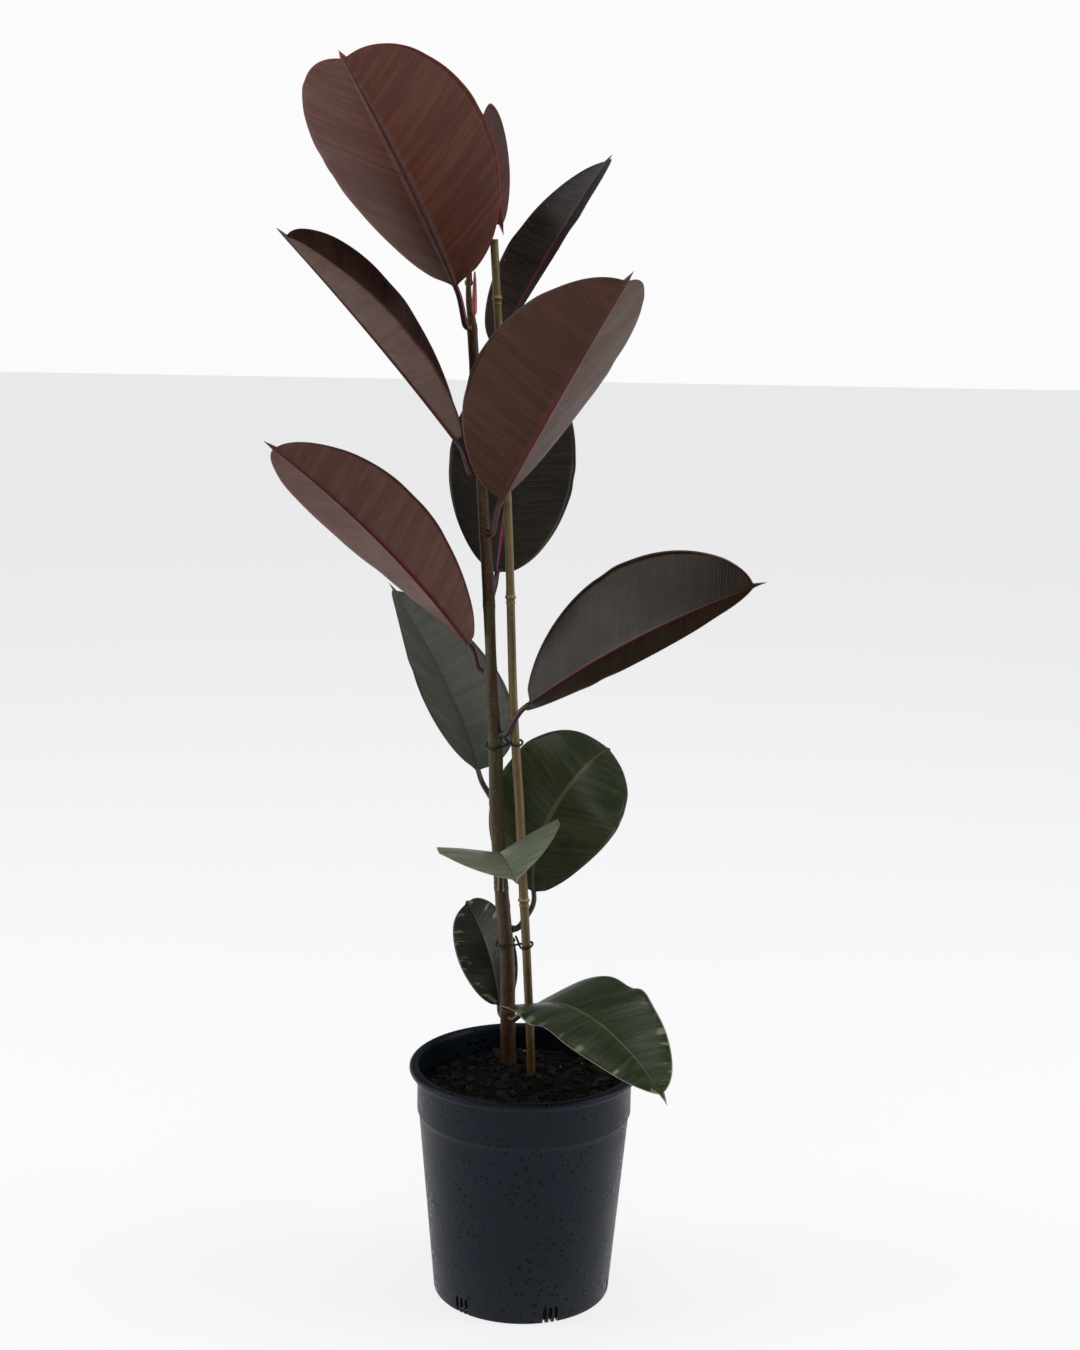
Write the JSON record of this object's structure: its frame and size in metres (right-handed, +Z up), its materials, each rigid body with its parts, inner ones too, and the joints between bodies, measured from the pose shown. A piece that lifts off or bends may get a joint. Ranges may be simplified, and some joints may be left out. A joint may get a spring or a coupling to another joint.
{
  "type": "potted rubber plant",
  "caption": "Young dark-leaved rubber plant with one upright stem tied to a bamboo cane, growing in a round tapered black nursery pot that stands on a flat base.",
  "frame": {"origin": "centre of the pot's flat base, on the surface that it stands on", "axes": "+Z up along the pot's axis, -Y to the front of the plant, +X to its right"},
  "size_m": [0.4095, 0.4328, 1.0461],
  "materials": {
    "pot_plastic": "moulded black polypropylene, satin, with dried water marks",
    "potting_mix": "moist dark peat and bark mix",
    "stem_bark": "smooth green-brown young bark with ring scars",
    "bud_sheath_skin": "thin pink-red waxy sheath",
    "dry_bamboo": "dry yellow-brown cane skin, faint sheen",
    "wire_coating": "dark green plastic-coated wire",
    "burgundy_leaf": "waxy leathery leaf, burgundy-brown underside with dark red midrib",
    "dark_leaf": "glossy leathery leaf, dark green-brown",
    "green_leaf": "glossy leathery leaf, deep green with cream and grey-green patches"
  },
  "bodies": {
    "root": {"pot": "pot_plastic", "soil": "potting_mix", "stem": "stem_bark", "bud_sheath": "bud_sheath_skin", "bamboo_stake": "dry_bamboo", "tie_lower": "wire_coating", "tie_upper": "wire_coating", "leaf_01": "burgundy_leaf", "leaf_02": "dark_leaf", "leaf_03": "dark_leaf", "leaf_04": "burgundy_leaf", "leaf_05": "burgundy_leaf", "leaf_06": "dark_leaf", "leaf_07": "burgundy_leaf", "leaf_08": "green_leaf", "leaf_09": "dark_leaf", "leaf_10": "green_leaf", "leaf_11": "green_leaf", "leaf_12": "green_leaf", "leaf_13": "green_leaf"}
  },
  "joints": []
}
